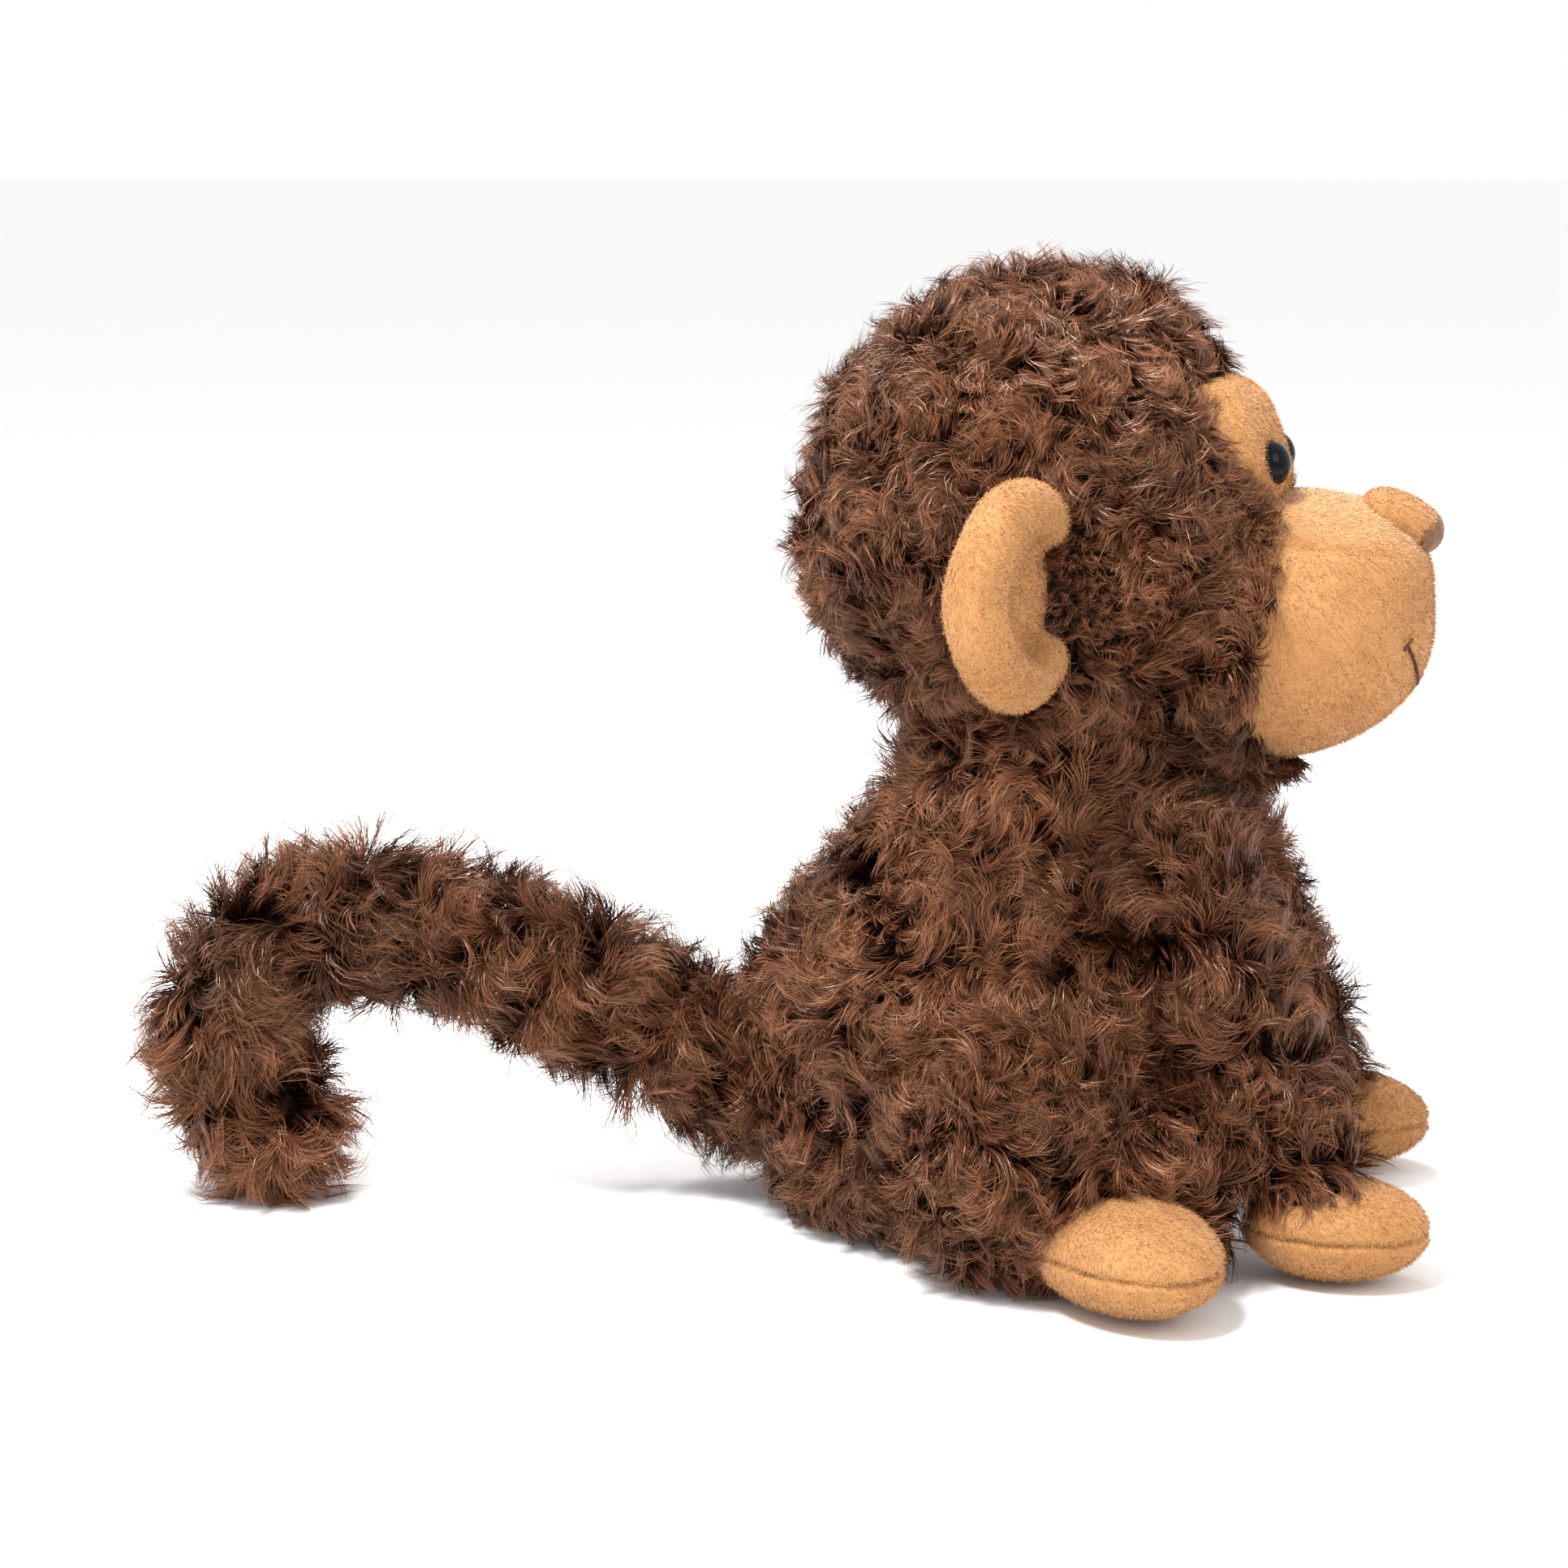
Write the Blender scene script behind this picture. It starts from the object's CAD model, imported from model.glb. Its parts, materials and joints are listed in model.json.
import json
import math

import bmesh
import bpy
import numpy as np
from mathutils import Matrix, Vector, kdtree
from mathutils.bvhtree import BVHTree


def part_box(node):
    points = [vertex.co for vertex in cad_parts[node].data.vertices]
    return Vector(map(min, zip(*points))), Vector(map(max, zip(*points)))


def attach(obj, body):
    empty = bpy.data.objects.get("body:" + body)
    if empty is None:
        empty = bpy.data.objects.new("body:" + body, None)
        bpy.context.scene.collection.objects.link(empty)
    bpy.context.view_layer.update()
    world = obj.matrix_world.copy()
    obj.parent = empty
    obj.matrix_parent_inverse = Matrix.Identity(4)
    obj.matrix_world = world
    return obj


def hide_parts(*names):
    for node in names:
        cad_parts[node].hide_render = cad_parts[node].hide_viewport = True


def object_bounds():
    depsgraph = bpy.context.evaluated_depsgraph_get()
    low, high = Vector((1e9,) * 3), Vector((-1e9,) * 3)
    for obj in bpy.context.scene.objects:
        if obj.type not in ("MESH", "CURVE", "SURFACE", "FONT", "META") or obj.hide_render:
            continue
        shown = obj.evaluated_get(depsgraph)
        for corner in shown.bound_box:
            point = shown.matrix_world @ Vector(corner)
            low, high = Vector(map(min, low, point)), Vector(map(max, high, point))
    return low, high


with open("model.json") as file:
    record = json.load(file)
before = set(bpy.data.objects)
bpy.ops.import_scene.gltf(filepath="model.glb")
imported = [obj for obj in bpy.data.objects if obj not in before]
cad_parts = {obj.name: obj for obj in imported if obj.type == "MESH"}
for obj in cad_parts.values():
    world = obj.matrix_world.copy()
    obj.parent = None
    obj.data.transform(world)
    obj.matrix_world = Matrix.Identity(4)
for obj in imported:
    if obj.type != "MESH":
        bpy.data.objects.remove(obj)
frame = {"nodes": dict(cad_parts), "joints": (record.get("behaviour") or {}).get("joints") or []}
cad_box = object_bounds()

# The looks of a stuffed monkey: curly brown fur in rosettes, short tan plush on the face, ears, hands and
# feet, glossy eyes and a stitched smile. Metres, +X the way the face looks, +Y its left, +Z up.

MM = 0.001
SIDES = {"right": -1, "left": 1}    # the sign of Y on each side

# Fur
PILE = 16.0 * MM               # length of a lock
LOCK_SPREAD = 1.5 * MM         # reach of a lock's roots
HAIR_WIDTH = 0.38 * MM
HAIRS_PER_LOCK = 13
HAIRS_PER_PIECE = 28000
ROSETTE_PITCH = 27.0 * MM
ROSETTE_LUMP = 3.0 * MM        # how far the ring of a rosette stands above its middle
TONES = 32                     # columns of fur tone in the colour map
LOWEST_HAIR = 0.7 * MM
HAIR_POINTS = 5
STRAY_SHARE = 0.06             # hairs that stand out of their lock
LOCK_RISE = 0.50               # how steeply a lock stands up in the middle of a rosette
LEAST_RISE = 0.18
FUR_TONE = 0.46                # middle of the range of tones

# Short tan plush
NAP = 1.3 * MM
NAP_WIDTH = 0.24 * MM
NAP_PER_MM2 = 3.0
NAP_MOST = 60000               # fibres on a piece
NAP_TONE = 0.38
NAP_LEAN = np.array([0.35, 0.1, -0.5])

# Both kinds of cloth
CLOTH_STEPS = 20               # frames of the cloth simulation


# ---- meshes ----

def new_object(name, mesh):
    obj = bpy.data.objects.new(name, mesh)
    bpy.context.scene.collection.objects.link(obj)
    return obj


def from_bmesh(name, bm):
    mesh = bpy.data.meshes.new(name)
    bm.to_mesh(mesh)
    bm.free()
    return new_object(name, mesh)


def smooth_shaded(obj):
    obj.data.polygons.foreach_set("use_smooth", [True] * len(obj.data.polygons))
    return obj


def apply_modifiers(obj):
    depsgraph = bpy.context.evaluated_depsgraph_get()
    mesh = bpy.data.meshes.new_from_object(obj.evaluated_get(depsgraph))
    obj.modifiers.clear()
    old = obj.data
    obj.data = mesh
    bpy.data.meshes.remove(old)
    return smooth_shaded(obj)


def cut_away(obj, unwanted):
    """Deletes the points of a mesh that a test picks out."""
    bm = bmesh.new()
    bm.from_mesh(obj.data)
    gone = [vertex for vertex, out in zip(bm.verts, unwanted(coordinates(obj.data))) if out]
    bmesh.ops.delete(bm, geom=gone, context="VERTS")
    bm.to_mesh(obj.data)
    bm.free()


def thicken(obj, thickness, offset=-1.0):
    modifier = obj.modifiers.new("thickness", "SOLIDIFY")
    modifier.thickness = thickness
    modifier.offset = offset
    apply_modifiers(obj)


def ball(name, radius, centre):
    bm = bmesh.new()
    bmesh.ops.create_icosphere(bm, subdivisions=6, radius=radius, matrix=Matrix.Translation(centre))
    return from_bmesh(name, bm)


def copy_nodes(name, nodes, balls=()):
    """The joined meshes of some CAD nodes, with balls that fill their hollows."""
    bm = bmesh.new()
    for node in nodes:
        bm.from_mesh(frame["nodes"][node].data)
    for centre, radius in balls:
        place = Matrix.Translation(centre)
        bmesh.ops.create_icosphere(bm, subdivisions=4, radius=radius, matrix=place)
    return from_bmesh(name, bm)


def remesh(obj, voxel, rounds):
    """One closed, even mesh of the object's outside, with its creases rounded off."""
    modifier = obj.modifiers.new("remesh", "REMESH")
    modifier.mode = "VOXEL"
    modifier.voxel_size = voxel
    soften = obj.modifiers.new("soften", "SMOOTH")
    soften.factor = 0.5
    soften.iterations = rounds
    return apply_modifiers(obj)


def coordinates(mesh):
    flat = np.empty(len(mesh.vertices) * 3)
    mesh.vertices.foreach_get("co", flat)
    return flat.reshape(-1, 3)


def vertex_normals(mesh):
    flat = np.empty(len(mesh.vertices) * 3, dtype=np.float32)
    mesh.vertex_normals.foreach_get("vector", flat)
    return flat.reshape(-1, 3).astype(float)


def set_coordinates(mesh, places):
    mesh.vertices.foreach_set("co", places.ravel())
    mesh.update()


def inflate(obj, pressure, most):
    """Cloth pressure swells the form as stuffing does; no point moves further than `most`."""
    start = coordinates(obj.data)
    cloth = obj.modifiers.new("cloth", "CLOTH")
    settings = cloth.settings
    settings.quality = 5
    settings.mass = 0.2
    settings.tension_stiffness = 12.0
    settings.compression_stiffness = 12.0
    settings.shear_stiffness = 4.0
    settings.bending_stiffness = 0.4
    settings.use_pressure = True
    settings.uniform_pressure_force = pressure
    settings.effector_weights.gravity = 0.0
    cloth.collision_settings.use_collision = False
    for number in range(1, CLOTH_STEPS + 1):
        bpy.context.scene.frame_set(number)
    depsgraph = bpy.context.evaluated_depsgraph_get()
    moved = coordinates(obj.evaluated_get(depsgraph).data) - start
    obj.modifiers.remove(cloth)
    bpy.context.scene.frame_set(1)
    length = np.linalg.norm(moved, axis=1, keepdims=True)
    capped = moved * np.minimum(1.0, most / np.maximum(length, 1e-9))
    set_coordinates(obj.data, start + capped)


def subdivide(obj, levels=1):
    modifier = obj.modifiers.new("subdivision", "SUBSURF")
    modifier.levels = levels
    modifier.render_levels = levels
    return apply_modifiers(obj)


def swell(obj, amount):
    """Moves each point along its normal: a number, or one amount for each point."""
    places = coordinates(obj.data)
    normals = vertex_normals(obj.data)
    set_coordinates(obj.data, places + normals * np.asarray(amount).reshape(-1, 1))


def ripple(places, scale, seed):
    """A smooth wandering value about zero: a few sine waves across the form."""
    rng = np.random.default_rng(seed)
    value = np.zeros(len(places))
    for _ in range(5):
        wave = rng.normal(size=3)
        wave *= 2 * math.pi / (scale * np.linalg.norm(wave) * rng.uniform(0.7, 1.4))
        value += np.sin(places @ wave + rng.uniform(0, 2 * math.pi))
    return value / 5


def seam(obj, offset, depth, width, pucker):
    """Presses a sewn seam into a form. `offset` is each point's distance from the seam's surface."""
    places = coordinates(obj.data)
    wander = 1.0 + pucker * ripple(places, 9 * MM, 3)
    swell(obj, -depth * wander * np.exp(-(offset / width) ** 2))


def mirrored_copy(obj, name):
    mesh = obj.data.copy()
    mesh.transform(Matrix.Scale(-1, 4, Vector((0, 1, 0))))
    mesh.flip_normals()
    return new_object(name, mesh)


# ---- strands ----

def sample_surface(obj, count, rng):
    """Random places on a mesh, evenly by area, with the normal at each."""
    mesh = obj.data
    mesh.calc_loop_triangles()
    corners = np.empty(len(mesh.loop_triangles) * 3, dtype=np.int32)
    mesh.loop_triangles.foreach_get("vertices", corners)
    corners = corners.reshape(-1, 3)
    places = coordinates(mesh)
    normals = vertex_normals(mesh)
    a, b, c = (places[corners[:, k]] for k in range(3))
    area = np.linalg.norm(np.cross(b - a, c - a), axis=1)
    picked = rng.choice(len(area), size=count, p=area / area.sum())
    u, v = rng.random(count), rng.random(count)
    over = u + v > 1
    u[over], v[over] = 1 - u[over], 1 - v[over]
    weights = np.stack([1 - u - v, u, v], axis=1)
    chosen = corners[picked]
    roots = sum(places[chosen[:, k]] * weights[:, k:k + 1] for k in range(3))
    outward = sum(normals[chosen[:, k]] * weights[:, k:k + 1] for k in range(3))
    return roots, unit(outward)


def surface_area(obj):
    return sum(polygon.area for polygon in obj.data.polygons)


def unit(vectors):
    return vectors / np.maximum(np.linalg.norm(vectors, axis=1, keepdims=True), 1e-9)


def spread_out(places, pitch):
    """Picks places that are at least `pitch` apart."""
    kept = []
    for index, place in enumerate(places):
        if not kept or np.min(np.linalg.norm(places[kept] - place, axis=1)) > pitch:
            kept.append(index)
    return kept


def nearest(points, centres):
    tree = kdtree.KDTree(len(centres))
    for index, centre in enumerate(centres):
        tree.insert(centre, index)
    tree.balance()
    return np.array([tree.find(place)[1] for place in points])


def ribbons(name, path, across, width, tone, tones):
    """Tapered flat strands. `path` is strands x points x 3; the map runs root to tip, one column a tone."""
    count, points, _ = path.shape
    part = np.linspace(0, 1, points)
    half = width[:, None] * 0.5 * np.sqrt(1.0 - 0.97 * part)[None, :]
    shift = across * half[:, :, None]
    low = path - shift
    high = path + shift
    per = 2 * (points - 1) + 1
    vertices = np.empty((count, per, 3))
    vertices[:, 0:per - 1:2] = low[:, :-1]
    vertices[:, 1:per - 1:2] = high[:, :-1]
    vertices[:, per - 1] = path[:, -1]
    quads = points - 2
    pattern = []
    for step in range(quads):
        first = 2 * step
        pattern += [first, first + 1, first + 3, first + 2]
    pattern += [per - 3, per - 2, per - 1]
    pattern = np.array(pattern)
    loops = (np.arange(count)[:, None] * per + pattern[None, :]).ravel()
    sizes = np.array([4] * quads + [3])
    starts = np.concatenate([[0], np.cumsum(sizes)[:-1]])
    loop_starts = (np.arange(count)[:, None] * len(pattern) + starts[None, :]).ravel()
    mesh = bpy.data.meshes.new(name)
    mesh.vertices.add(count * per)
    mesh.loops.add(len(loops))
    mesh.polygons.add(len(loop_starts))
    mesh.vertices.foreach_set("co", vertices.ravel())
    mesh.loops.foreach_set("vertex_index", loops.astype(np.int32))
    mesh.polygons.foreach_set("loop_start", loop_starts.astype(np.int32))
    mesh.polygons.foreach_set("use_smooth", np.ones(len(loop_starts), dtype=bool))
    mesh.update(calc_edges=True)
    # the colour map: each strand lies in the column of its tone, its root at the bottom
    column = (tone * tones).astype(int).clip(0, tones - 1)
    side = np.array([0.2, 0.8] * (points - 1) + [0.5])
    along = np.append(np.repeat(part[:-1], 2), 1.0)
    u = (column[:, None] + side[None, :]) / tones
    v = np.broadcast_to(0.01 + 0.98 * along, u.shape)
    corner = np.stack([u, v], axis=2)[:, pattern].reshape(-1)
    layer = mesh.uv_layers.new(name="OFBake")
    layer.data.foreach_set("uv", corner.astype(np.float32))
    return new_object(name, mesh)


def fur_paths(roots, outward, spin_of, centres, rng, pile, trim, least_rise):
    """Locks that swirl round the nearest rosette and meet at their tips: their hairs' paths.
    `trim` gives each root its length's factor and the way that short pile is brushed."""
    owner = nearest(roots, centres)
    out = roots - centres[owner]
    out -= outward * np.sum(out * outward, axis=1, keepdims=True)
    away = np.linalg.norm(out, axis=1, keepdims=True) / (0.5 * ROSETTE_PITCH)
    out = unit(out)
    around = np.cross(outward, out) * spin_of[owner][:, None]
    lean = unit(0.9 * around + (0.15 + 0.45 * away) * out + 0.50 * rng.normal(size=roots.shape)
                + np.array([0, 0, -0.12]))
    locks = len(roots)
    factor, brushed = np.ones(locks), np.zeros((locks, 3))
    if trim is not None:
        factor, brushed = trim(roots)
    lean = unit(lean + 3.0 * brushed * (1 - factor)[:, None])
    lean = unit(lean - outward * np.sum(lean * outward, axis=1, keepdims=True))
    lump = ROSETTE_LUMP * np.sin(math.pi * np.clip(away[:, 0], 0, 1)) * factor
    roots = roots + outward * lump[:, None]
    rise = np.clip(LOCK_RISE + 0.18 * away[:, 0] + 0.20 * rng.normal(size=locks), least_rise, 1.0)
    length = pile * rng.uniform(0.70, 1.15, locks) * np.clip(0.66 + 0.34 * away[:, 0], 0.6, 1.05) * factor
    curl = spin_of[owner] * rng.uniform(0.6, 2.2, locks) + 0.3 * rng.normal(size=locks)
    patch = 0.14 * rng.normal(size=len(centres))[owner]
    tone = np.clip(FUR_TONE + patch + 0.20 * rng.normal(size=locks), 0, 0.999)
    repeat = np.repeat(np.arange(locks), HAIRS_PER_LOCK)
    hairs = len(repeat)
    n = outward[repeat]
    side = lean[repeat]
    third = np.cross(n, side)
    reach = LOCK_SPREAD * np.abs(rng.normal(size=hairs))
    angle = rng.uniform(0, 2 * math.pi, hairs)
    offset = (side * np.cos(angle)[:, None] + third * np.sin(angle)[:, None]) * reach[:, None]
    stray = rng.random(hairs) < STRAY_SHARE
    length = length[repeat] * rng.uniform(0.78, 1.04, hairs)
    rise = rise[repeat] + np.where(stray, 0.12, 0.0)
    curl = curl[repeat] + 0.2 * rng.normal(size=hairs)
    gather = np.where(stray, -0.5, rng.uniform(0.55, 0.9, hairs))
    path = np.empty((hairs, HAIR_POINTS, 3))
    for k, part in enumerate(np.linspace(0, 1, HAIR_POINTS)):
        turn = (curl * part)[:, None]
        heading = side * np.cos(turn) + third * np.sin(turn)
        up = (rise * (1 - (1 - part) ** 1.7))[:, None]
        along = 0.86 * part ** 1.15
        path[:, k] = roots[repeat] + length[:, None] * (n * up + heading * along)
        path[:, k] += offset * (1 - gather * part)[:, None]
    tone = np.clip(tone[repeat] + 0.20 * rng.normal(size=hairs), 0, 0.999)
    return path, n, tone


def ribbon_sides(path, n, rng, roll):
    """The way across each strand: level with the skin, rolled a little at random."""
    step = np.gradient(path, axis=1)
    across = np.cross(step, n[:, None, :])
    across = across / np.maximum(np.linalg.norm(across, axis=2, keepdims=True), 1e-9)
    face = np.cross(across, step)
    face = face / np.maximum(np.linalg.norm(face, axis=2, keepdims=True), 1e-9)
    turn = (roll * rng.normal(size=len(path)))[:, None, None]
    return across * np.cos(turn) + face * np.sin(turn)


def grow_fur(name, skin, body, share, seed, allowed=None, pile=PILE, parts=1, trim=None,
             least_rise=LEAST_RISE):
    """Covers a skin in rosettes of curly fur, as pieces of at most HAIRS_PER_PIECE hairs.
    `share` thins it, `allowed` says where roots may stand and `trim` where it is short."""
    rng = np.random.default_rng(seed)
    seeds, seed_normals = sample_surface(skin, 2500, rng)
    centres = seeds[spread_out(seeds, ROSETTE_PITCH * 0.8)]
    spin = np.where(rng.random(len(centres)) < 0.5, -1.0, 1.0)
    locks = int(parts * HAIRS_PER_PIECE / HAIRS_PER_LOCK * share)
    roots, outward = sample_surface(skin, 3 * locks, rng)
    if allowed is not None:
        keep = allowed(roots)
        roots, outward = roots[keep], outward[keep]
    roots, outward = roots[:locks], outward[:locks]
    path, n, tone = fur_paths(roots, outward, spin, centres, rng, pile, trim, least_rise)
    path[:, :, 2] = np.maximum(path[:, :, 2], LOWEST_HAIR * (1 + rng.random(len(path))[:, None]))
    across = ribbon_sides(path, n, rng, 0.5)
    width = HAIR_WIDTH * rng.uniform(0.7, 1.25, len(path))
    for index, chosen in enumerate(np.array_split(np.arange(len(path)), parts)):
        piece_name = f"{name}_{index + 1}" if parts > 1 else name
        piece = ribbons(piece_name, path[chosen], across[chosen], width[chosen], tone[chosen], TONES)
        piece.data.materials.append(MATERIALS["fur"])
        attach(piece, body)


def grow_nap(name, skin, body, seed, allowed=None, pale=None):
    """Short plush fibres that lean one way, a little ruffled, and lighter where `pale` says."""
    rng = np.random.default_rng(seed)
    count = int(surface_area(skin) / (MM * MM) * NAP_PER_MM2)
    roots, n = sample_surface(skin, min(count, NAP_MOST), rng)
    if allowed is not None:
        keep = allowed(roots)
        roots, n = roots[keep], n[keep]
    lean = NAP_LEAN + 0.35 * rng.normal(size=roots.shape)
    direction = unit(n + 0.8 * unit(lean))
    length = NAP * rng.uniform(0.6, 1.15, len(roots))
    part = np.linspace(0, 1, 3)
    path = roots[:, None, :] - n[:, None, :] * 0.15 * MM
    path = path + direction[:, None, :] * (length[:, None] * part[None, :])[:, :, None]
    path[:, 2] += unit(lean) * 0.25 * length[:, None]
    path[:, :, 2] = np.maximum(path[:, :, 2], 0.2 * MM)
    across = ribbon_sides(path, n, rng, 0.6)
    width = NAP_WIDTH * rng.uniform(0.7, 1.3, len(path))
    tone = NAP_TONE + 0.10 * rng.normal(size=len(path)) + 0.25 * ripple(roots, 4 * MM, seed)
    if pale is not None:
        tone = tone + 0.6 * pale(roots)
    tone = np.clip(tone, 0, 0.999)
    piece = ribbons(name, path, across, width, tone, TONES)
    piece.data.materials.append(MATERIALS["nap"])
    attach(piece, body)


# ---- materials ----

def new_material(name):
    material = bpy.data.materials.new(name)
    material.use_nodes = True
    shader = material.node_tree.nodes["Principled BSDF"]
    return material, material.node_tree, shader


def ramp_node(tree, stops):
    ramp = tree.nodes.new("ShaderNodeValToRGB")
    elements = ramp.color_ramp.elements
    while len(elements) < len(stops):
        elements.new(0.5)
    for element, (place, colour) in zip(elements, stops):
        element.position = place
        element.color = (*colour, 1.0)
    return ramp


def strand_material(name, along_stops, tone_stops, roughness, sheen, specular, gloss):
    """A strand's colour from its map: root to tip, times the tone of its column."""
    material, tree, shader = new_material(name)
    links = tree.links
    uv = tree.nodes.new("ShaderNodeUVMap")
    uv.uv_map = "OFBake"
    split = tree.nodes.new("ShaderNodeSeparateXYZ")
    links.new(uv.outputs["UV"], split.inputs["Vector"])
    along = ramp_node(tree, along_stops)
    tone = ramp_node(tree, tone_stops)
    links.new(split.outputs["Y"], along.inputs["Fac"])
    links.new(split.outputs["X"], tone.inputs["Fac"])
    mix = tree.nodes.new("ShaderNodeMix")
    mix.data_type = "RGBA"
    mix.blend_type = "MULTIPLY"
    mix.inputs["Factor"].default_value = 1.0
    links.new(along.outputs["Color"], mix.inputs["A"])
    links.new(tone.outputs["Color"], mix.inputs["B"])
    links.new(mix.outputs["Result"], shader.inputs["Base Color"])
    shader.inputs["Roughness"].default_value = roughness
    shader.inputs["Specular IOR Level"].default_value = specular
    shader.inputs["Specular Tint"].default_value = (*gloss, 1.0)
    shader.inputs["Sheen Weight"].default_value = sheen
    shader.inputs["Sheen Roughness"].default_value = 0.4
    shader.inputs["Sheen Tint"].default_value = (*gloss, 1.0)
    return material


def cloth_material(name, dark, light, scale, bump, sheen, roughness):
    """Cloth, thread or plastic: two tones in patches of the given fineness, and a fine bump."""
    material, tree, shader = new_material(name)
    links = tree.links
    place = tree.nodes.new("ShaderNodeTexCoord")
    noise = tree.nodes.new("ShaderNodeTexNoise")
    noise.inputs["Scale"].default_value = scale
    noise.inputs["Detail"].default_value = 6.0
    links.new(place.outputs["Object"], noise.inputs["Vector"])
    ramp = ramp_node(tree, [(0.35, dark), (0.65, light)])
    links.new(noise.outputs["Fac"], ramp.inputs["Fac"])
    links.new(ramp.outputs["Color"], shader.inputs["Base Color"])
    fine = tree.nodes.new("ShaderNodeTexNoise")
    fine.inputs["Scale"].default_value = 1400.0
    fine.inputs["Detail"].default_value = 3.0
    links.new(place.outputs["Object"], fine.inputs["Vector"])
    relief = tree.nodes.new("ShaderNodeBump")
    relief.inputs["Strength"].default_value = bump
    relief.inputs["Distance"].default_value = 0.0006
    links.new(fine.outputs["Fac"], relief.inputs["Height"])
    links.new(relief.outputs["Normal"], shader.inputs["Normal"])
    rough = tree.nodes.new("ShaderNodeMapRange")
    rough.inputs["To Min"].default_value = roughness - 0.08
    rough.inputs["To Max"].default_value = roughness + 0.08
    links.new(noise.outputs["Fac"], rough.inputs["Value"])
    links.new(rough.outputs["Result"], shader.inputs["Roughness"])
    shader.inputs["Sheen Weight"].default_value = sheen
    shader.inputs["Sheen Roughness"].default_value = 0.35
    shader.inputs["Specular IOR Level"].default_value = 0.2
    return material


def eye_material():
    """Polished black with a slate ring at the edge, coloured by the distance from the dome's axis."""
    material, tree, shader = new_material("eye_gloss")
    links = tree.links
    attribute = tree.nodes.new("ShaderNodeUVMap")
    attribute.uv_map = "OFBake"
    split = tree.nodes.new("ShaderNodeSeparateXYZ")
    links.new(attribute.outputs["UV"], split.inputs["Vector"])
    ramp = ramp_node(tree, [(0.0, (0.002, 0.002, 0.003)), (0.70, (0.002, 0.002, 0.003)),
                            (0.82, (0.004, 0.007, 0.011)), (0.94, (0.016, 0.030, 0.044)),
                            (1.0, (0.01, 0.012, 0.016))])
    links.new(split.outputs["Y"], ramp.inputs["Fac"])
    links.new(ramp.outputs["Color"], shader.inputs["Base Color"])
    shader.inputs["Roughness"].default_value = 0.04
    shader.inputs["Specular IOR Level"].default_value = 0.14
    return material


MATERIALS = {
    "fur": strand_material(
        "curly_fur",
        [(0.0, (0.012, 0.0036, 0.0016)), (0.35, (0.063, 0.0200, 0.0092)), (0.75, (0.200, 0.069, 0.0310)),
         (1.0, (0.560, 0.260, 0.135))],
        [(0.0, (0.26, 0.24, 0.23)), (0.5, (0.60, 0.57, 0.54)), (0.85, (0.92, 0.90, 0.88)),
         (1.0, (1.0, 1.0, 1.0))],
        roughness=0.32, sheen=0.0, specular=0.42, gloss=(1.0, 0.66, 0.46)),
    "nap": strand_material(
        "tan_plush",
        [(0.0, (0.42, 0.26, 0.13)), (0.6, (0.68, 0.53, 0.345)), (1.0, (0.84, 0.74, 0.56))],
        [(0.0, (0.56, 0.35, 0.19)), (0.35, (0.70, 0.45, 0.26)), (0.7, (0.82, 0.56, 0.34)),
         (1.0, (1.0, 0.96, 0.90))],
        roughness=0.7, sheen=0.35, specular=0.2, gloss=(1.0, 0.86, 0.68)),
    "under_fur": cloth_material("fur_backing", (0.020, 0.0075, 0.0040), (0.050, 0.018, 0.0090),
                                scale=60, bump=0.8, sheen=0.1, roughness=0.8),
    "tan": cloth_material("tan_cloth", (0.41, 0.19, 0.066), (0.50, 0.25, 0.096),
                          scale=45, bump=0.5, sheen=0.3, roughness=0.8),
    "nose_tip": cloth_material("nose_tip", (0.13, 0.062, 0.030), (0.24, 0.12, 0.060),
                               scale=500, bump=0.6, sheen=0.2, roughness=0.8),
    "eye": eye_material(),
    "thread": cloth_material("thread", (0.09, 0.02, 0.012), (0.16, 0.04, 0.022),
                             scale=900, bump=0.8, sheen=0.2, roughness=0.6),
    "plastic": cloth_material("washer", (0.62, 0.62, 0.60), (0.70, 0.70, 0.68),
                              scale=200, bump=0.1, sheen=0.0, roughness=0.45),
}


# ---- camera, light and floor ----

VIEW_AZIMUTH = 10.0            # degrees ahead of the straight side view
VIEW_ELEVATION = 10.2
VIEW_DISTANCE = 1.032
FOCAL_LENGTH = 80.7            # millimetres, on a sensor 36 mm wide
VIEW_TARGET = Vector((-70.2, -12.0, 127.4)) * MM


def look_at(obj, place, target):
    obj.location = place
    obj.rotation_euler = (target - place).to_track_quat("-Z", "Y").to_euler()


def outward_from(azimuth, elevation):
    """The way out to a place that many degrees round from the toy's right side, and up."""
    a, e = math.radians(azimuth), math.radians(elevation)
    return Vector((math.sin(a) * math.cos(e), -math.cos(a) * math.cos(e), math.sin(e)))


def make_camera():
    data = bpy.data.cameras.new("camera")
    data.lens = FOCAL_LENGTH
    data.sensor_width = 36.0
    camera = new_object("camera", data)
    place = VIEW_TARGET + outward_from(VIEW_AZIMUTH, VIEW_ELEVATION) * VIEW_DISTANCE
    look_at(camera, place, VIEW_TARGET)
    bpy.context.scene.camera = camera


def make_light(name, azimuth, elevation, distance, size, power):
    data = bpy.data.lights.new(name, "AREA")
    data.shape = "DISK"
    data.size = size
    data.energy = power
    lamp = new_object(name, data)
    target = (Vector(cad_box[0]) + Vector(cad_box[1])) / 2
    look_at(lamp, target + outward_from(azimuth, elevation) * distance, target)


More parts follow.
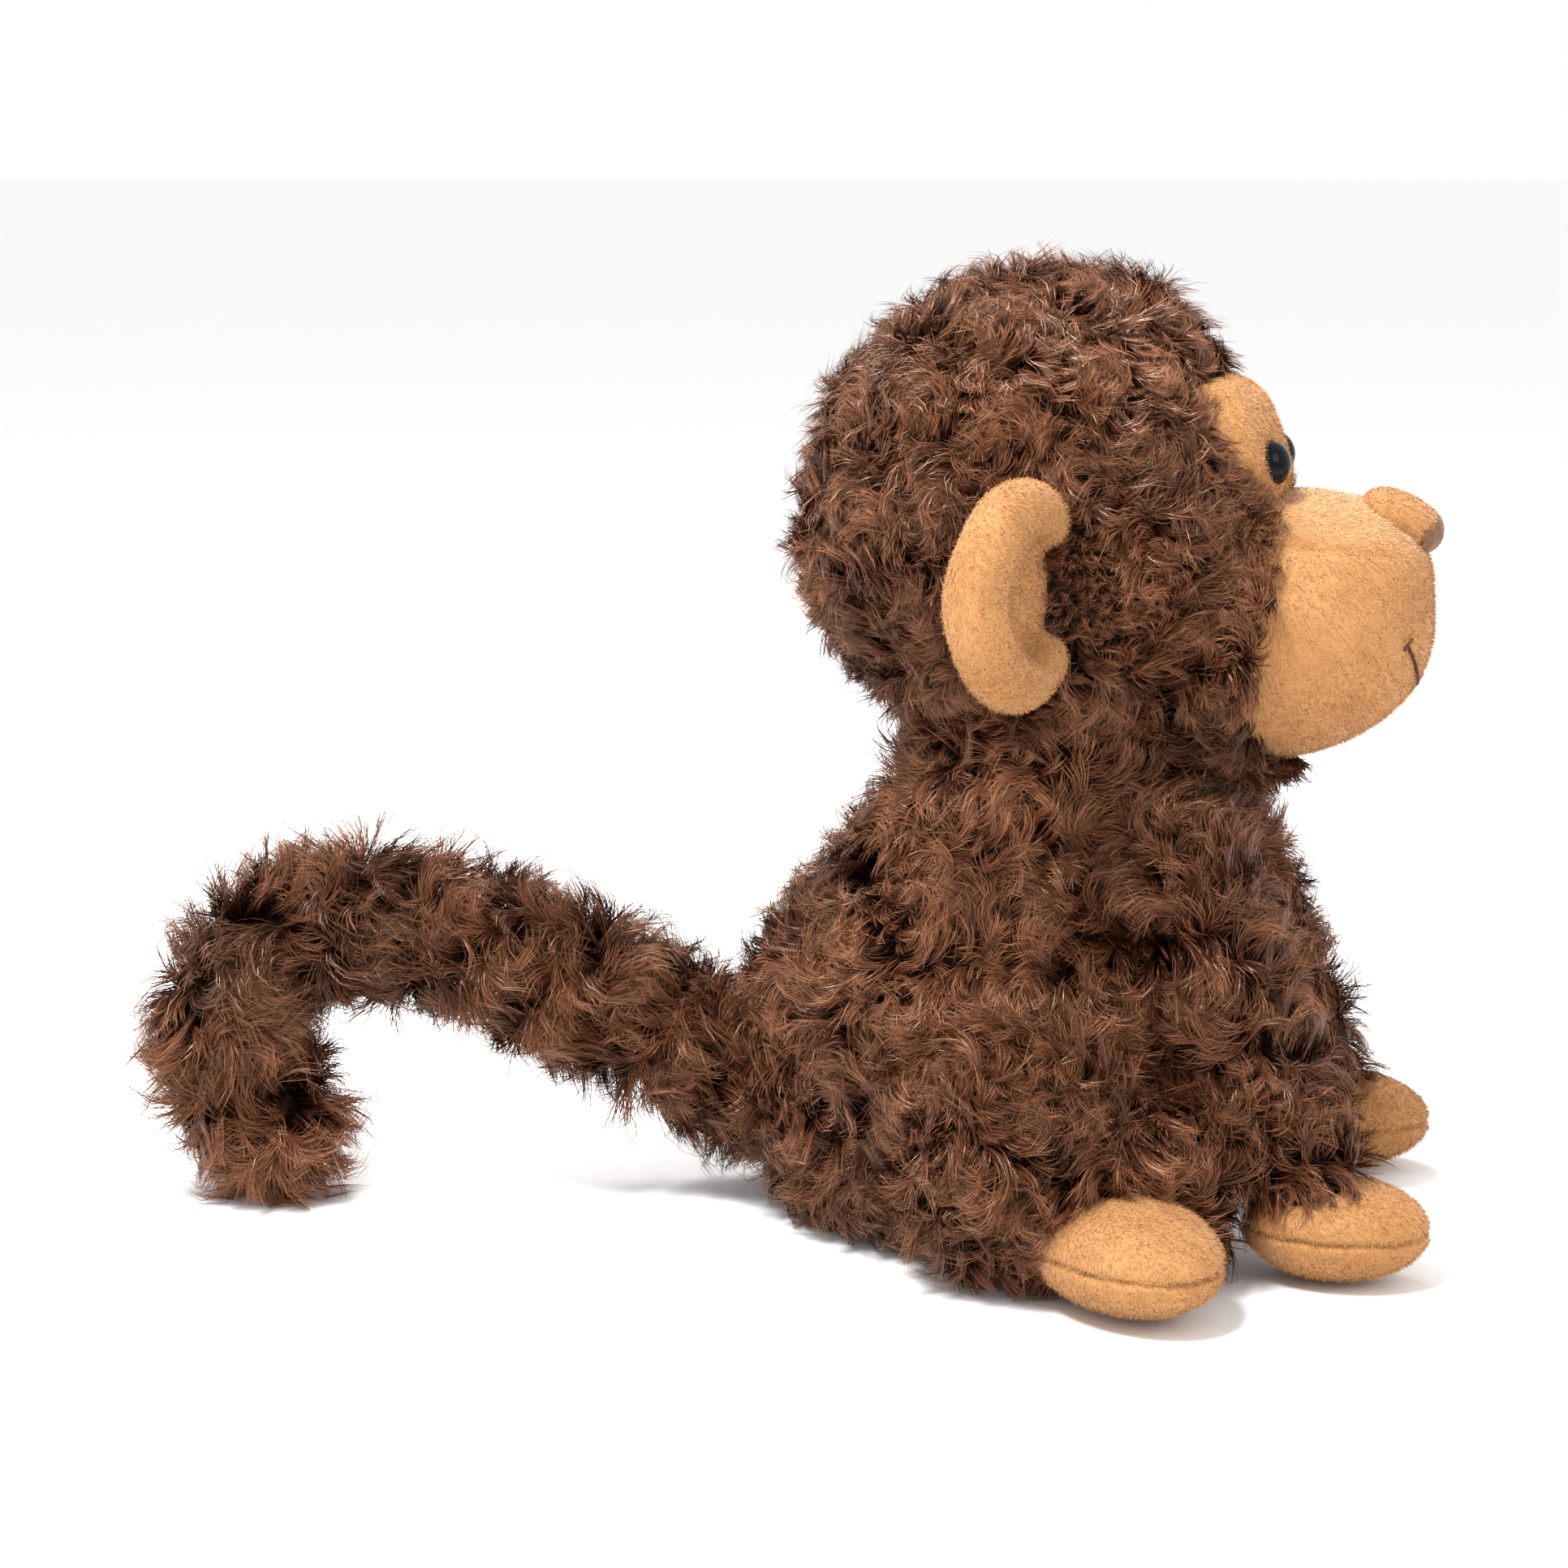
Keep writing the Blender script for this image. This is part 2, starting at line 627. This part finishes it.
def make_studio():
    world = bpy.data.worlds.new("studio")
    bpy.context.scene.world = world
    world.use_nodes = True
    background = world.node_tree.nodes["Background"]
    background.inputs["Color"].default_value = (1.0, 1.0, 1.0, 1.0)
    background.inputs["Strength"].default_value = 1.0
    make_light("key", azimuth=-25, elevation=58, distance=1.3, size=0.30, power=24)
    make_light("fill", azimuth=60, elevation=30, distance=1.5, size=0.8, power=4)
    make_light("rim", azimuth=195, elevation=60, distance=1.4, size=0.4, power=12)
    bm = bmesh.new()
    bmesh.ops.create_grid(bm, x_segments=2, y_segments=2, size=40.0)
    floor = from_bmesh("floor", bm)
    material, _, shader = new_material("pale_floor")
    shader.inputs["Base Color"].default_value = (0.95, 0.95, 0.95, 1.0)
    shader.inputs["Roughness"].default_value = 0.9
    floor.data.materials.append(material)
    bpy.context.scene.view_settings.view_transform = "Standard"


# ---- places read from the frame ----

def joint_place(name):
    for joint in frame["joints"]:
        if joint["name"] == name:
            return Vector(joint["pos_m"])
    raise KeyError(name)


def middle(node):
    low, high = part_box(node)
    return (Vector(low) + Vector(high)) / 2


def half_size(node):
    low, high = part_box(node)
    return (Vector(high) - Vector(low)) / 2


HEAD_RADIUS = half_size("head_skin").x
HEAD_CENTRE = Vector((middle("head_skin").x, 0.0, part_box("head_skin")[1][2] - HEAD_RADIUS))
NECK = joint_place("neck_turn")
NECK_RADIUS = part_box("body_skin")[1][2] - NECK.z
EYE = {side: middle(side + "_eye") for side in SIDES}
EYE_RADIUS = 6.4 * MM
EYE_HEIGHT = 5.0 * MM
FACE_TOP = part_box("face_panel")[1]
FACE_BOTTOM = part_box("face_panel")[0][2]
FACE_RADIUS = math.hypot(FACE_TOP[0] - HEAD_CENTRE.x, FACE_BOTTOM - HEAD_CENTRE.z)
FACE_LOBE = (FACE_TOP[2] - FACE_BOTTOM) / 2 + 1.0 * MM
FACE_HEIGHT = (FACE_TOP[2] + FACE_BOTTOM) / 2
FACE_SPREAD = FACE_TOP[1] - FACE_LOBE
PILE_ROOT = 4.0 * MM           # the skin lies this far inside the solids, whose faces are mid pile


def finish_skin(obj, body, material, nodes):
    """Gives a padded piece its material, its body and slot, and the CAD nodes that it stands for."""
    obj.data.materials.clear()
    obj.data.materials.append(MATERIALS[material])
    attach(obj, body)
    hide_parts(*nodes)


# ---- body ----

def make_body():
    """The body's cloth, with balls that fill the sockets of the neck, tail and limbs."""
    hip_fill = half_size("right_leg_skin").z - 2 * MM
    shoulder_fill = 16 * MM
    tail_fill = 15 * MM
    balls = [(NECK, NECK_RADIUS), (joint_place("tail_swing"), tail_fill)]
    for side in SIDES:
        balls.append((joint_place(side + "_hip"), hip_fill))
        balls.append((joint_place(side + "_shoulder"), shoulder_fill))
    body = copy_nodes("body_fur_backing", ["body_skin", "body_stuffing"], balls)
    remesh(body, voxel=4.5 * MM, rounds=8)
    swell(body, -PILE_ROOT - 1 * MM)
    inflate(body, pressure=3.0, most=4 * MM)
    subdivide(body)
    nodes = ["body_skin", "body_stuffing", "seat_pellet_bag"]
    finish_skin(body, "body", "under_fur", nodes)
    lowest, highest = 1.5 * MM, NECK.z + 22 * MM
    grow_fur("body_fur", body, "body", share=1.0, seed=11, parts=5,
             allowed=lambda places: (places[:, 2] > lowest) & (places[:, 2] < highest))


# ---- head ----

def beyond_face(places):
    """How far places lie outside the three round lobes of the tan face, and the way out of it."""
    best = np.full(len(places), np.inf)
    way = np.zeros((len(places), 3))
    for middle_y in (-FACE_SPREAD, 0.0, FACE_SPREAD):
        out = places - np.array([0.0, middle_y, FACE_HEIGHT])
        out[:, 0] = 0.0
        apart = np.linalg.norm(out, axis=1) - FACE_LOBE
        closer = apart < best
        best[closer] = apart[closer]
        way[closer] = unit(out[closer])
    best[places[:, 0] < HEAD_CENTRE.x] = np.inf
    return best, way


def trim_round_face(places):
    """Short pile that is brushed away from the face and lies low in front of the ears."""
    apart, way = beyond_face(places)
    shortest, reach = 0.60, 12 * MM
    factor = np.clip(shortest + (1 - shortest) * apart / reach, shortest, 1.0)
    shortest_at_ear = 0.16
    for side in SIDES:
        ear = np.array(joint_place(side + "_ear_fold") + Vector((11, 0, 0)) * MM)
        height = half_size(side + "_ear_skin").z
        off = (places - ear) / np.array([17 * MM, 25 * MM, 0.85 * height])
        at_ear = np.clip(shortest_at_ear + 0.8 * np.sum(off**2, axis=1) ** 2, shortest_at_ear, 1.0)
        factor = np.minimum(factor, at_ear)
    return factor, way


def muzzle_shape():
    """The muzzle's middle and half sizes: its solid is cut off at the back by the head."""
    low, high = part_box("muzzle_skin")
    half = Vector(((high[0] - HEAD_CENTRE.x) * 0.45, (high[1] - low[1]) / 2, (high[2] - low[2]) / 2))
    return Vector((high[0] - half.x, 0.0, (high[2] + low[2]) / 2)), half


def head_wanted(places):
    """Where the head has pile: outside the muzzle and the tan face, and above the neck."""
    centre, half = muzzle_shape()
    apart = (places - np.array(centre)) / np.array(half + Vector((1, 1, 1)) * MM)
    off_muzzle = np.sum(apart**2, axis=1) > 0.9
    above_neck = places[:, 2] > NECK.z + 3 * MM
    face_lap = 3.5 * MM
    return off_muzzle & above_neck & (beyond_face(places)[0] > -face_lap)


def make_head():
    """The head's cloth: a ball, a little fuller at the height of the cheeks, and its fur."""
    head = ball("head_fur_backing", HEAD_RADIUS, HEAD_CENTRE)
    places = coordinates(head.data)
    cheek_drop, cheek_spread = 20 * MM, 26 * MM
    cheek = np.exp(-((places[:, 2] - HEAD_CENTRE.z + cheek_drop) / cheek_spread) ** 2)
    swell(head, -PILE_ROOT + 2.0 * MM * cheek + 1.2 * MM * ripple(places, 45 * MM, 5))
    smooth_shaded(head)
    finish_skin(head, "head", "under_fur", ["head_skin", "head_stuffing"])
    grow_fur("head_fur", head, "head", share=1.0, seed=23, parts=5, allowed=head_wanted,
             trim=trim_round_face, pile=0.88 * PILE)


def make_face():
    """The tan pad round the eyes: a thick piece of a ball, with dents for the eyes and a sunk edge."""
    face = ball("face_plush", FACE_RADIUS - 0.8 * MM, HEAD_CENTRE)
    cut_away(face, lambda places: beyond_face(places)[0] > 1.5 * MM)
    thicken(face, 8 * MM)
    remesh(face, voxel=1.6 * MM, rounds=6)
    places = coordinates(face.data)
    dent, dent_radius = 1.8 * MM, 7.5 * MM
    socket = np.zeros(len(places))
    for side in SIDES:
        apart = np.linalg.norm(places - np.array(eye_base(side)), axis=1)
        socket -= dent * np.exp(-(apart / dent_radius) ** 2)
    swell(face, socket + 0.5 * MM * ripple(places, 22 * MM, 8))
    # the edge goes down among the pile round it, as at a sewn seam
    places = coordinates(face.data)
    edge_width, edge_drop = 9 * MM, 5.5 * MM
    edge = np.clip(1 + beyond_face(places)[0] / edge_width, 0, 1) ** 2
    inward = unit(np.array(HEAD_CENTRE) - places)
    set_coordinates(face.data, places + inward * (edge_drop * edge)[:, None])
    finish_skin(face, "head", "tan", ["face_panel"])
    grow_nap("face_nap", face, "head", seed=31)


def muzzle_form(direction):
    """A place on the muzzle's unit form: round below, and fuller and flatter on top."""
    x, y, z = direction
    power = 2.0 + 1.2 * min(1.0, max(0.0, z / 0.4))
    length = ((abs(x) ** power + abs(z) ** power) ** (2 / power) + y * y) ** 0.5
    return direction / length


def make_muzzle():
    centre, half = muzzle_shape()
    fullness = 1.02
    bm = bmesh.new()
    bmesh.ops.create_icosphere(bm, subdivisions=5, radius=1.0)
    for vertex in bm.verts:
        vertex.co = Vector(a * b for a, b in zip(muzzle_form(vertex.co), half)) * fullness + centre
    muzzle = from_bmesh("muzzle_plush", bm)
    inflate(muzzle, pressure=3.0, most=2.5 * MM)
    subdivide(muzzle)

    def over_seam(places):
        """Height above the seam between the muzzle's top and its sides, which slopes down ahead."""
        return places[:, 2] - (centre.z + 0.76 * half.z) + 0.16 * (places[:, 0] - centre.x)

    places = coordinates(muzzle.data)
    fade_ahead = 1 / (1 + np.exp((places[:, 0] - centre.x - 36 * MM) / (3 * MM)))
    seam(muzzle, over_seam(places), depth=1.7 * MM * fade_ahead, width=1.3 * MM, pucker=0.4)
    # a short soft crease under each cheek
    places = coordinates(muzzle.data)
    crease = places[:, 2] - (centre.z - 0.66 * half.z) - 0.25 * (places[:, 0] - centre.x)
    on_side = np.exp(-((places[:, 0] - centre.x - 8 * MM) / (14 * MM)) ** 2)
    swell(muzzle, -1.1 * MM * np.exp(-(crease / (2.0 * MM)) ** 2) * on_side)
    finish_skin(muzzle, "head", "tan", ["muzzle_skin", "muzzle_stuffing"])

    grow_nap("muzzle_nap", muzzle, "head", seed=37,
             pale=lambda places: 1 / (1 + np.exp(-over_seam(places) / (1.5 * MM))),
             allowed=lambda places: places[:, 0] > fur_edge(places) - 3 * MM)
    make_cheek_fur(muzzle)
    return muzzle


def fur_edge(places):
    """How far forward the roots of the cheek's fur reach over the muzzle, at each place's height."""
    centre, half = muzzle_shape()
    height = (places[:, 2] - centre.z) / half.z
    reach = np.interp(height, (-1.0, -0.8, -0.4, 0.5, 0.9), (0.26, 0.06, -0.05, 0.15, 0.15))
    edge = centre.x + reach * half.x
    return np.where((height > 0.75) & (np.abs(places[:, 1]) < 24 * MM), -np.inf, edge)


def make_cheek_fur(muzzle):
    """The head's fur cloth laps the back of the muzzle: its own backing and pile."""
    lap = new_object("cheek_fur_backing", muzzle.data.copy())
    lap.data.materials.clear()
    cut_away(lap, lambda places: places[:, 0] > fur_edge(places))
    cut_away(lap, lambda places: places[:, 0] < HEAD_CENTRE.x + 30 * MM)
    grow_fur("cheek_fur", lap, "head", share=0.9, seed=29, pile=0.85 * PILE, least_rise=0.5,
             allowed=lambda places: beyond_face(places)[0] > 1.5 * MM, trim=brush_cheeks)
    # the backing ends behind the first row of pile, which hides its edge
    cut_away(lap, lambda places: places[:, 0] > fur_edge(places) - 4.5 * MM)
    thicken(lap, 1.2 * MM, offset=1.0)
    lap.data.materials.append(MATERIALS["under_fur"])
    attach(lap, "head")


def brush_cheeks(places):
    """The cheeks' pile leans ahead, over the edge of the muzzle, and away from the face."""
    factor, way = trim_round_face(places)
    beside_face = np.clip(1 - beyond_face(places)[0] / (10 * MM), 0, 1)[:, None]
    ahead = np.array([1.0, 0, 0])
    longest = 0.80
    return np.minimum(factor, longest), unit(ahead * (1 - beside_face) + way * beside_face)


def make_nose():
    """A small wedge on the muzzle's top edge: blunt in front, sunk at the back, darker at its tip."""
    centre, half = middle("nose"), half_size("nose")
    bm = bmesh.new()
    bmesh.ops.create_icosphere(bm, subdivisions=5, radius=1.0)
    tilt = Matrix.Rotation(math.radians(30), 3, "Y")
    place = centre + Vector((-1.0, 0, 1.2)) * MM
    for vertex in bm.verts:
        x, y, z = vertex.co
        wide = 1.0 - 0.22 * x
        tall = 0.78 + 0.06 * x
        boxy = max(abs(x), abs(y), abs(z)) ** 0.15
        vertex.co = tilt @ Vector((x * half.x * 1.05, y * half.y * wide, z * half.z * tall)) / boxy
        vertex.co = vertex.co + place
    nose = from_bmesh("nose_plush", bm)
    smooth_shaded(nose)
    finish_skin(nose, "head", "tan", ["nose"])
    tip = np.array([centre.x + 0.80 * half.x, 0.0, centre.z - 0.45 * half.z])
    reach = np.array([6.5 * MM, 1.3 * half.y, 6.5 * MM])

    def off_tip(places):
        return np.linalg.norm((places - tip) / reach, axis=1) > 1.0

    grow_nap("nose_nap", nose, "head", seed=41, allowed=off_tip)
    spot = new_object("nose_tip", nose.data.copy())
    cut_away(spot, off_tip)
    spot.data.materials.clear()
    swell(spot, 0.5 * MM)
    thicken(spot, 0.8 * MM)
    spot.data.materials.append(MATERIALS["nose_tip"])
    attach(spot, "head")


def make_mouth(muzzle):
    """Two twisted strands along the smile, a tuck at each corner and one upright stitch in the middle."""
    low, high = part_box("mouth_thread")
    tree = BVHTree.FromPolygons([v.co for v in muzzle.data.vertices],
                                [p.vertices[:] for p in muzzle.data.polygons])
    thread = 0.42 * MM
    curve = bpy.data.curves.new("mouth_stitching", "CURVE")
    curve.dimensions = "3D"
    curve.bevel_depth = thread
    curve.bevel_resolution = 3

    def on_muzzle(y, z):
        """The place on the muzzle's front at that width and height, just above its nap's roots."""
        hit = tree.ray_cast(Vector((high[0] + 20 * MM, y, z)), Vector((-1, 0, 0)))[0]
        return hit + Vector((0.75 * MM, 0, 0))

    def stitch(places):
        spline = curve.splines.new("POLY")
        spline.points.add(len(places) - 1)
        for point, place in zip(spline.points, places):
            point.co = (*place, 1.0)

    reach = (high[1] - low[1]) / 2 - thread
    drop = high[2] - low[2] - 2 * thread
    steps = 90
    for strand in (-1, 1):
        places = []
        for k in range(steps + 1):
            part = 2 * k / steps - 1
            twist = math.sin(part * 70 + strand * math.pi / 2)
            height = low[2] + thread + drop * part**2 + strand * 0.3 * MM * twist
            places.append(on_muzzle(part * reach, height))
        stitch(places)
    for end in (-1, 1):
        corner_y, corner_z = end * reach, high[2]
        stitch([on_muzzle(corner_y - end * 1.6 * MM, corner_z + 1.6 * MM),
                on_muzzle(corner_y + end * 1.2 * MM, corner_z - 1.4 * MM)])
    stitch([on_muzzle(0.0, low[2] + 3.0 * MM), on_muzzle(0.0, low[2] - 3.0 * MM)])
    mouth = new_object("mouth_stitching", curve)
    curve.materials.append(MATERIALS["thread"])
    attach(mouth, "head")
    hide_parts("mouth_thread")


def eye_base(side):
    outward = (EYE[side] - HEAD_CENTRE).normalized()
    return HEAD_CENTRE + outward * (FACE_RADIUS - 2.4 * MM)


def eye_dome(side):
    """A domed eye, mapped by ring, which looks ahead and a little outward."""
    rings, around = 24, 48
    past_rim = math.radians(100)
    outward = (EYE[side] - HEAD_CENTRE).normalized() + Vector((0, 0.30 * SIDES[side], 0))
    base = eye_base(side)
    bm = bmesh.new()
    turn = outward.to_track_quat("Z", "Y").to_matrix()
    layer = bm.loops.layers.uv.new("OFBake")
    grid = []
    for ring in range(rings + 1):
        angle = (ring / rings) * past_rim
        radius = EYE_RADIUS * math.sin(angle)
        height = EYE_HEIGHT * math.cos(angle)
        row = []
        for step in range(around):
            spin = 2 * math.pi * step / around
            local = Vector((radius * math.cos(spin), radius * math.sin(spin), height))
            row.append(bm.verts.new(base + turn @ local))
        grid.append(row)
    for ring in range(rings):
        for step in range(around):
            after = (step + 1) % around
            corners = [(ring + 1, step), (ring + 1, after), (ring, after), (ring, step)]
            face = bm.faces.new([grid[a][b] for a, b in corners])
            for loop, (a, b) in zip(face.loops, corners):
                loop[layer].uv = ((step + (0.1 if b == step else 0.9)) / around, a / rings)
    bmesh.ops.remove_doubles(bm, verts=bm.verts, dist=0.01 * MM)
    bmesh.ops.recalc_face_normals(bm, faces=bm.faces)
    return smooth_shaded(from_bmesh(side + "_eye_dome", bm))


def make_eyes():
    for side in SIDES:
        eye = eye_dome(side)
        eye.data.materials.append(MATERIALS["eye"])
        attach(eye, "head")
        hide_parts(side + "_eye")


# ---- ears, limbs and tail ----

def tan_pad(name, nodes, voxel, most, seam_height):
    """A padded plush form from its CAD solids: remeshed, blown up like cloth, then seamed."""
    pad = copy_nodes(name, nodes)
    remesh(pad, voxel, 4)
    swell(pad, -0.8 * MM)      # room for the pressure to fill
    inflate(pad, pressure=4.0, most=most)
    subdivide(pad, levels=2)
    places = coordinates(pad.data)
    offset = places[:, 2] - seam_height - 0.5 * MM * ripple(places, 16 * MM, 2)
    seam(pad, offset, depth=1.5 * MM, width=0.9 * MM, pucker=0.35)
    return pad


def ear_form():
    """The right ear: a fat rolled rim round a thin dished web, which faces ahead and a little out."""
    sweep = math.radians(20)
    outward = Vector((-math.sin(sweep), -math.cos(sweep), 0))
    front = Vector((math.cos(sweep), -math.sin(sweep), 0))
    up = Vector((0, 0, 1))
    low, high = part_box("right_ear_skin")
    radius = min(32 * MM, (high[2] - low[2]) / 2)
    centre = joint_place("right_ear_fold") + outward * radius / 2
    fat = 0.265 * radius       # radius of the rim's roll
    half_turn = 128            # degrees of rim on each side of its outermost place
    balls = 70
    bm = bmesh.new()
    for k in range(balls):
        angle = math.radians(-half_turn + 2 * half_turn * k / (balls - 1))
        taper = 1.0 - 0.22 * abs(math.sin(angle / 2)) ** 3
        lean = 2.5 * MM * abs(math.sin(angle))
        spoke = outward * math.cos(angle) + up * math.sin(angle)
        place = Matrix.Translation(centre + spoke * (radius - fat) + front * lean)
        bmesh.ops.create_icosphere(bm, subdivisions=2, radius=fat * taper, matrix=place)
    turn = Matrix((outward, up, front)).transposed().to_4x4()
    web_thickness, web_depth = 3.6 * MM, 2.5 * MM
    flat = Matrix.Diagonal((radius - fat, radius - fat, web_thickness, 1))
    web = Matrix.Translation(centre - front * web_depth) @ turn @ flat
    bmesh.ops.create_icosphere(bm, subdivisions=4, radius=1.0, matrix=web)
    ear = from_bmesh("right_ear_plush", bm)
    remesh(ear, voxel=1.7 * MM, rounds=6)
    inflate(ear, pressure=3.0, most=1.2 * MM)
    subdivide(ear)
    places = coordinates(ear.data)
    behind = (places - np.array(centre)) @ np.array(front) + 0.55 * fat
    at_rim = np.linalg.norm(places - np.array(centre), axis=1) > radius - fat
    seam(ear, np.where(at_rim, behind, 1.0), depth=0.9 * MM, width=0.8 * MM, pucker=0.5)
    return ear


def make_ears():
    right = ear_form()
    left = mirrored_copy(right, "left_ear_plush")
    for index, (side, ear) in enumerate(zip(SIDES, (right, left))):
        nodes = [side + "_ear_skin", side + "_ear_padding"]
        finish_skin(ear, side + "_ear", "tan", nodes)
        grow_nap(side + "_ear_nap", ear, side + "_ear", seed=51 + index)


def make_ends(part, panels, seed):
    """Both hands or both feet."""
    names = ["right_" + panel for panel in panels] + [f"right_{part}_stuffing"]
    limb = "arm" if part == "hand" else "leg"
    seam_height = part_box("right_" + panels[0])[0][2]
    right = tan_pad(f"right_{part}_plush", names, 2.5 * MM, 2.0 * MM, seam_height)
    left = mirrored_copy(right, f"left_{part}_plush")
    for index, (side, end) in enumerate(zip(SIDES, (right, left))):
        nodes = [name.replace("right", side) for name in names]
        finish_skin(end, f"{side}_{limb}", "tan", nodes)
        grow_nap(f"{side}_{part}_nap", end, f"{side}_{limb}", seed=seed + index)


def furry_limb(name, nodes, body, seed, share, pile, allowed=None, parts=1, balls=()):
    """The cloth of an arm, leg or tail, taken from its stuffing and any balls, and its fur."""
    backing = copy_nodes(name + "_fur_backing", nodes[1:], balls)
    remesh(backing, voxel=4 * MM, rounds=4)
    swell(backing, -PILE_ROOT + 2 * MM)
    subdivide(backing)
    finish_skin(backing, body, "under_fur", nodes)
    grow_fur(name + "_fur", backing, body, share, seed, allowed=allowed, pile=pile, parts=parts)


def outside(nodes, scale):
    """A test for places outside the ellipsoid that fills the box of some nodes."""
    corners = [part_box(node) for node in nodes]
    low = np.min([corner[0] for corner in corners], axis=0)
    high = np.max([corner[1] for corner in corners], axis=0)

    def test(places):
        apart = (places - (low + high) / 2) / ((high - low) / 2 * scale)
        return np.sum(apart**2, axis=1) > 1
    return test


def make_limbs():
    """Arms and legs. A ball at the knee rounds the folded haunch."""
    for index, side in enumerate(SIDES):
        hand = [side + "_hand_back", side + "_palm"]
        furry_limb(side + "_arm", [side + "_arm_skin", side + "_arm_stuffing"], side + "_arm",
                   seed=61 + index, share=0.85, pile=PILE * 0.95, allowed=outside(hand, 0.86))
        thigh = half_size(side + "_leg_skin").z
        knee = joint_place(side + "_hip") + Vector((0.95, -0.05 * SIDES[side], -0.32)) * thigh
        foot = [side + "_foot_top", side + "_foot_sole"]
        furry_limb(side + "_leg", [side + "_leg_skin", side + "_leg_stuffing"], side + "_leg",
                   seed=71 + index, share=1.0, pile=PILE * 0.95, allowed=outside(foot, 0.72),
                   balls=[(knee, 0.62 * thigh)])


def colour_small_parts():
    """The pieces that keep their CAD form: the neck's thread and the eyes' lock washers."""
    looks = {"neck_seam": "thread", "right_eye_washer": "plastic", "left_eye_washer": "plastic"}
    for node, key in looks.items():
        for material_slot in frame["nodes"][node].material_slots:
            material_slot.material = MATERIALS[key]


def main():
    make_camera()
    make_studio()
    make_body()
    make_head()
    make_face()
    make_mouth(make_muzzle())
    make_nose()
    make_eyes()
    make_ears()
    make_ends("hand", ["hand_back", "palm"], seed=81)
    make_ends("foot", ["foot_top", "foot_sole"], seed=91)
    make_limbs()
    furry_limb("tail", ["tail_skin", "tail_stuffing"], "tail", seed=101, share=1.0,
               pile=PILE * 1.2, parts=2)
    colour_small_parts()


main()
